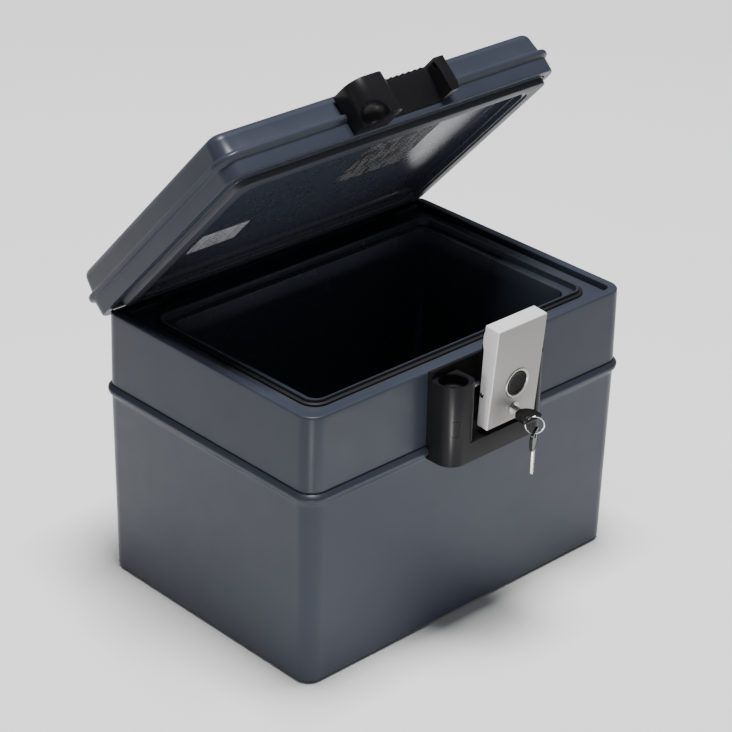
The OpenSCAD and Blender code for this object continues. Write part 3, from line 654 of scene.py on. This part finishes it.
def latch_cover():
    def section(i, past):
        """Side view, smaller by i all round, with its back edge moved back."""
        z0, z1 = 230.4 + i, 340.6 - i
        edge = [(-178, z0), (-174.9, 312), (-174.2, 315), (-172.9, 318.5), (-172.5, 321)]
        edge += [(-172.5, 328), (-173.0, 331), (-173.7, 334), (-173.8, z1)]
        return [(COVER_Y + i, z0)] + [(y + past, z) for y, z in edge] + [(COVER_Y + i, z1)]

    def round_hole(r, at, segments):
        return lathe([(r, 0), (r, 6)], (at[0], at[1] + 4, at[2]), "-Y", segments)
    bm = x_prism(section(0, 0), -18, 48.7)
    bm = soften(bm, 1.3, 4, 40)
    cuts = [x_prism(section(2, 20), -16, 46.7)]
    cuts += [round_hole(14.96, SENSOR, 96), round_hole(6.06, KEYHOLE, 64)]
    for x in (-19, 46):
        cuts.append(lathe([(1.6, 0), (1.6, 4)], (x, SIDE_SCREW_Y, SIDE_SCREW_Z), "X", 24))
    bm = carve(bm, cut=cuts)
    for f in bm.faces:
        f.normal_update()
        # faces turned away from the front take the lighter copy, a painted highlight on the cover's
        # sides, top and bevels
        f.material_index = 1 if f.normal.y > -0.97 else 0
    obj = piece("latch_cover_shell", bm, "latch", COVER, "latch_cover",
                LATCH_POSE, angle=28)
    obj.data.materials.append(COVER_SIDE_HIGHLIGHT)


def latch_carrier():
    z1 = 338.4
    a, b, ear_t = -15.8, 46.5, 2.8
    base = box((a, -177.6, 232.6), (b, -175.6, z1))
    ear = [(-177.0, 258), (-168.6, 260.4), (-167.0, 262.5), (-167.0, 303.0), (-170.8, 310)]
    ear += [(-170.8, z1), (-177.0, z1)]
    add = []
    for x in (a, b - ear_t):
        add.append(x_prism(ear, x, x + ear_t))
        add.append(box((x, -184, 259), (x + ear_t, -176.6, 288)))
    # pivot, two windows for the bolt, side screws
    cuts = [lathe([(2.56, -70), (2.56, 0)], (b + 2, PIVOT.y, PIVOT.z), "X", 40)]
    cuts += [box((23.7, -178.6, 330.7), (40.4, -174.6, 336.3))]
    cuts += [box((42.5, -172.5, 330.7), (47.5, -168.2, 336.3))]
    cuts += [lathe([(1.5, -70), (1.5, 0)], (b + 2, SIDE_SCREW_Y, SIDE_SCREW_Z), "X", 24)]
    bm = carve(base, add=add, cut=cuts)
    bm = soften(bm, 0.4, 2, 35)
    piece("latch_carrier_frame", bm, "latch", BLACK, "latch_carrier", LATCH_POSE)


def cover_screws():
    section = [(0.01, -4.6), (1.46, -4.6), (1.46, 0.0), (2.6, 0.0), (2.6, 0.45), (2.3, 0.95)]
    section += [(1.7, 1.2), (1.1, 1.2), (0.01, 1.2)]
    parts = []
    for x, axis in ((-18, "-X"), (48.7, "X")):
        at = (x, SIDE_SCREW_Y, SIDE_SCREW_Z)
        socket = lathe([(1.05, 0.4), (1.05, 2)], at, axis, 6)
        parts.append(carve(lathe(section, at, axis, 40), cut=[socket]))
    pair = join(parts)
    piece("cover_screw_pair", pair, "latch", DARK_STEEL, "cover_screws", LATCH_POSE)


def sensor():
    r = 13.0
    section = [(r + 0.03, -8), (r + 1.9, -8), (r + 1.9, 0), (15.7, 0), (16.0, 0.25), (15.8, 0.7)]
    section += [(15.2, 1.0), (14.4, 0.95), (13.6, 0.55), (r + 0.1, 0.2), (r + 0.03, 0.0)]
    rim = lathe(section, SENSOR, "-Y", 96, closed=True)
    piece("sensor_ring", rim, "latch", BEZEL, "sensor_bezel", LATCH_POSE)
    dish = [(0.01, -7.5), (r, -7.5), (r, 0.1), (r - 0.4, 0.45), (r - 1.0, 0.5), (r - 1.7, 0.2)]
    dish += [(r - 4, 0.0), (r - 8, -0.1), (0.01, -0.12)]
    face = lathe(dish, SENSOR, "-Y", 96)
    piece("sensor_face", face, "latch", WINDOW, "sensor_window", LATCH_POSE)


def cylinder():
    section = [(4.58, -8), (5.9, -8), (6.0, 0), (6.8, 0), (7.0, 0.3), (6.8, 0.65), (6.2, 0.8)]
    section += [(5.2, 0.55), (4.7, 0.5), (4.58, 0.3)]
    rim = lathe(section, KEYHOLE, "-Y", 72, closed=True)
    piece("cylinder_rim", rim, "latch", BEZEL, "cylinder_barrel", LATCH_POSE)
    profile = [(0.01, -8.7), (4.5, -8.7), (4.5, 0.45), (4.25, 0.7), (0.01, 0.7)]
    tail = lathe([(2, -11.2), (2, -8)], KEYHOLE, "-Y", 32)
    x, z = KEYHOLE[0], KEYHOLE[2]
    slit = box((x - 3.7, -196, z - 1.15), (x + 3.7, -183.8, z + 1.15))
    plug = carve(lathe(profile, KEYHOLE, "-Y", 64), add=[tail], cut=[slit])
    piece("cylinder_plug", plug, "key", CHROME, "key_plug", LATCH_POSE)


# ---- keys -----------------------------------------------------------------


# height of the hole in a key head, and how far the ring hangs inside it
EYE_Y, EYE_DROP = 16.4, 6.2
RING_R = 9.15


def head_points():
    """Outline of a key head: round at the top, squarer at the shoulders."""
    r, corner = 12.7, 4
    pts = arc(0, r, r, 180, 360, 28)
    pts += arc(r - corner, 17.1, corner, 0, 90, 7) + arc(corner - r, 17.1, corner, 90, 180, 7)
    return pts


def key_head_mesh(hx):
    """Key head with a sunk field on both faces and the eye for the ring at hx."""
    bm = soften(prism(head_points(), -1.6, 1.6), 0.7, 3, 40)
    field = [(0.86 * x, 10.4 + 0.82 * (y - 10.4)) for x, y in head_points()]
    eye = lathe([(3.2, -4), (3.2, 4)], (hx, EYE_Y, 0), "Z", 48)
    socket = box((-3.52, -1, -1.02), (3.52, 8.02, 1.02))
    return carve(bm, cut=[prism(field, 1.25, 3), prism(field, -3, -1.25), eye, socket])


def key_blade_mesh(length, n):
    """Flat blade with a milled groove down each face and n cuts on one edge."""
    half = 3.5
    pts = [(-half, 8), (-half, -length + 1.6), (-2.2, -length), (1.6, -length), (2.6, -length + 1.2)]
    step = (length - 8) / (n + 1)
    y = -length + 1.6
    for depth in [0.9, 0.4, 1.3, 0.7, 1.1][:n]:
        pts += [(half - depth, y + step * 0.55), (half - depth, y + step * 0.75)]
        pts += [(half - 0.15, y + step * 1.1)]
        y += step
    pts += [(half, y + 1.2), (half, 8)]
    bm = soften(prism(pts, -1, 1), 0.15, 2, 40)
    grooves = [box((-1.6, -length - 1, 0.45), (-0.2, 3, 2))]
    grooves += [box((0.6, -length - 1, -2), (1.9, 3, -0.45))]
    return carve(bm, cut=grooves)


def split_ring():
    """Two close turns of flattened wire."""
    steps, turns, rise, wide, thick = 180, 1.9, 0.64, 0.62, 0.34
    wire = [2 * math.pi * j / 12 for j in range(12)]
    loops = []
    for k in range(steps + 1):
        a = 2 * math.pi * turns * k / steps + 0.6
        radial = Vector((math.cos(a), math.sin(a), 0))
        side = rise * k / steps - rise / 2
        c = Vector((RING_R * math.cos(a), RING_R * math.sin(a), side))
        loops.append([tuple(c + radial * (wide * math.cos(b)) + Vector((0, 0, thick * math.sin(b))))
                      for b in wire])
    return loft(loops)


def keys():
    x, y, z = KEYHOLE
    at = LATCH_POSE @ Matrix.Translation((x, y - 7, z)) @ Matrix.Rotation(math.pi, 4, "Z")
    piece("key_bow", key_head_mesh(2.4), "key", KEYCAP, "key_head", at)
    piece("key_shank", key_blade_mesh(14.8, 1), "key", KEYSTEEL, "key_blade", at)
    # the ring hangs upright in the eye of the tipped key
    turn = math.radians(-44)
    out, ring_side = 7 + EYE_Y, 5.7
    co, si = math.cos(LATCH_OPEN), math.sin(LATCH_OPEN)
    ky = PIVOT.y + (y - PIVOT.y) * co - (z - PIVOT.z) * si
    kz = PIVOT.z + (y - PIVOT.y) * si + (z - PIVOT.z) * co
    hx = x - 2.4 + ring_side * math.cos(turn)
    hy = ky - out * co + ring_side * math.sin(turn)
    hz = kz - (out - ring_side * math.sin(turn)) * si
    cz = hz - EYE_DROP
    upright = Matrix.Rotation(math.pi / 2, 4, "X")
    ring_at = Matrix.Translation((hx, hy, cz)) @ Matrix.Rotation(turn, 4, "Z") @ upright
    piece("key_split_ring", split_ring(), "ring", CHROME, "key_ring", ring_at, 50)
    spare_at = Matrix.Translation((hx, hy, cz - RING_R - 2.2 - EYE_Y))
    spare_at = spare_at @ Matrix.Rotation(math.radians(29.2), 4, "Z") @ upright
    piece("spare_bow", key_head_mesh(0.0), "spare", KEYCAP, "spare_key_head", spare_at)
    spare = key_blade_mesh(26, 5)
    piece("spare_shank", spare, "spare", KEYSTEEL, "spare_key_blade", spare_at)


body_shell()
inner_liner()
rim_gasket()
hinges()
latch_bracket()
lid_latch_housing()
lid_shell()
lid_liner()
labels()
latch_cover()
latch_carrier()
cover_screws()
sensor()
cylinder()
keys()

CARRIED = {
    "body_insulation": MINERAL, "lid_insulation": MINERAL, "hinge_pins": STEEL, "bracket_screws": STEEL,
    "latch_pivot_pin": STEEL, "housing_screws": STEEL, "control_board": BOARD,
    "battery_pack": CELL, "lock_motor": STEEL, "lock_cam": STEEL, "lock_bolt": STEEL,
}
for node, material in CARRIED.items():
    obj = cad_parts[node]
    obj.data.materials.clear()
    obj.data.materials.append(material)

# ---- stage, light and camera ----------------------------------------------

FLOOR_HALF = 9000
floor = as_object("floor", box((-FLOOR_HALF, -FLOOR_HALF, -20), (FLOOR_HALF, FLOOR_HALF, 0)))
floor.data.transform(Matrix.Scale(MM, 4))
pale = Nodes("pale_floor", Roughness=0.85)
pale.tint(pale.noise(3, 2), (0.86, 0.86, 0.86), (0.88, 0.88, 0.88))
floor.data.materials.append(pale.mat)

world = bpy.data.worlds.new("studio")
bpy.context.scene.world = world
world.use_nodes = True
world.node_tree.nodes["Background"].inputs["Color"].default_value = (1, 1, 1, 1)
world.node_tree.nodes["Background"].inputs["Strength"].default_value = 0.15


def softbox(name, at, aim, size, watts):
    data = bpy.data.lights.new(name, "AREA")
    data.shape = "RECTANGLE"
    data.size, data.size_y = size
    data.energy = watts
    obj = bpy.data.objects.new(name, data)
    bpy.context.collection.objects.link(obj)
    obj.location = at
    obj.visible_camera = False
    obj.rotation_euler = (Vector(aim) - Vector(at)).to_track_quat("-Z", "Y").to_euler()
    return obj


def lights_only(light, objects, state="INCLUDE"):
    """Let a light reach only the objects, or with EXCLUDE all but them."""
    group = bpy.data.collections.new(light.name + "_group")
    for obj in objects:
        group.objects.link(obj)
    for entry in group.collection_objects:
        entry.light_linking.link_state = state
    light.light_linking.receiver_collection = group


softbox("key_light", (0.1, 0.0, 5.0), (0, 0, 0), (1.6, 1.6), 470)
softbox("left_light", (-2.0, 0.3, 0.9), (0, 0, 0.3), (0.8, 0.8), 1)
corner = softbox("corner_light", (-0.56, -0.50, 0.03), (-0.21, -0.15, 0.27), (0.14, 0.14), 1.1)
front = softbox("front_light", (-0.05, -0.52, 0.03), (-0.05, -0.15, 0.0), (0.6, 0.05), 0.5)
lights_only(corner, [floor], "EXCLUDE")
lights_only(front, [floor], "EXCLUDE")
post = softbox("post_light", (-0.34, -0.47, 0.03), (-0.04, -0.19, 0.25), (0.05, 0.05), 2.0)
lights_only(post, [bpy.data.objects["latch_bracket_body"]])
side = softbox("side_light", (-0.60, -0.24, 0.30), (-0.02, -0.18, 0.29), (0.1, 0.1), 1.2)
lights_only(side, [bpy.data.objects["latch_cover_shell"]])
glow = softbox("tub_light", (0.0, -0.01, 0.27), (0.0, 0.0, 0.6), (0.26, 0.16), 0.22)
glow.visible_glossy = False

# camera: azimuth, elevation and roll, what it looks at, distance and lens
AZ, EL, ROLL = math.radians(-44.0102), math.radians(27.7711), math.radians(1.4894)
TARGET = Vector((-76.43, -79.14, 276.70)) * MM
DISTANCE = 2.45317
SENSOR_MM, FOCAL = 36, 2537.68 / 732
back = Vector((math.sin(AZ) * math.cos(EL), -math.cos(AZ) * math.cos(EL), math.sin(EL)))
right = (-back).cross(Vector((0, 0, 1))).normalized()
up = right.cross(-back)
rolled_right = right * math.cos(ROLL) + up * math.sin(ROLL)
rolled_up = -right * math.sin(ROLL) + up * math.cos(ROLL)
camera = bpy.data.objects.new("camera", bpy.data.cameras.new("camera"))
bpy.context.collection.objects.link(camera)
camera.data.sensor_width = SENSOR_MM
camera.data.lens = SENSOR_MM * FOCAL
camera.data.clip_start, camera.data.clip_end = 0.1, 50
spin = Matrix((rolled_right, rolled_up, back)).transposed().to_4x4()
camera.matrix_world = Matrix.Translation(TARGET + back * DISTANCE) @ spin
bpy.context.scene.camera = camera
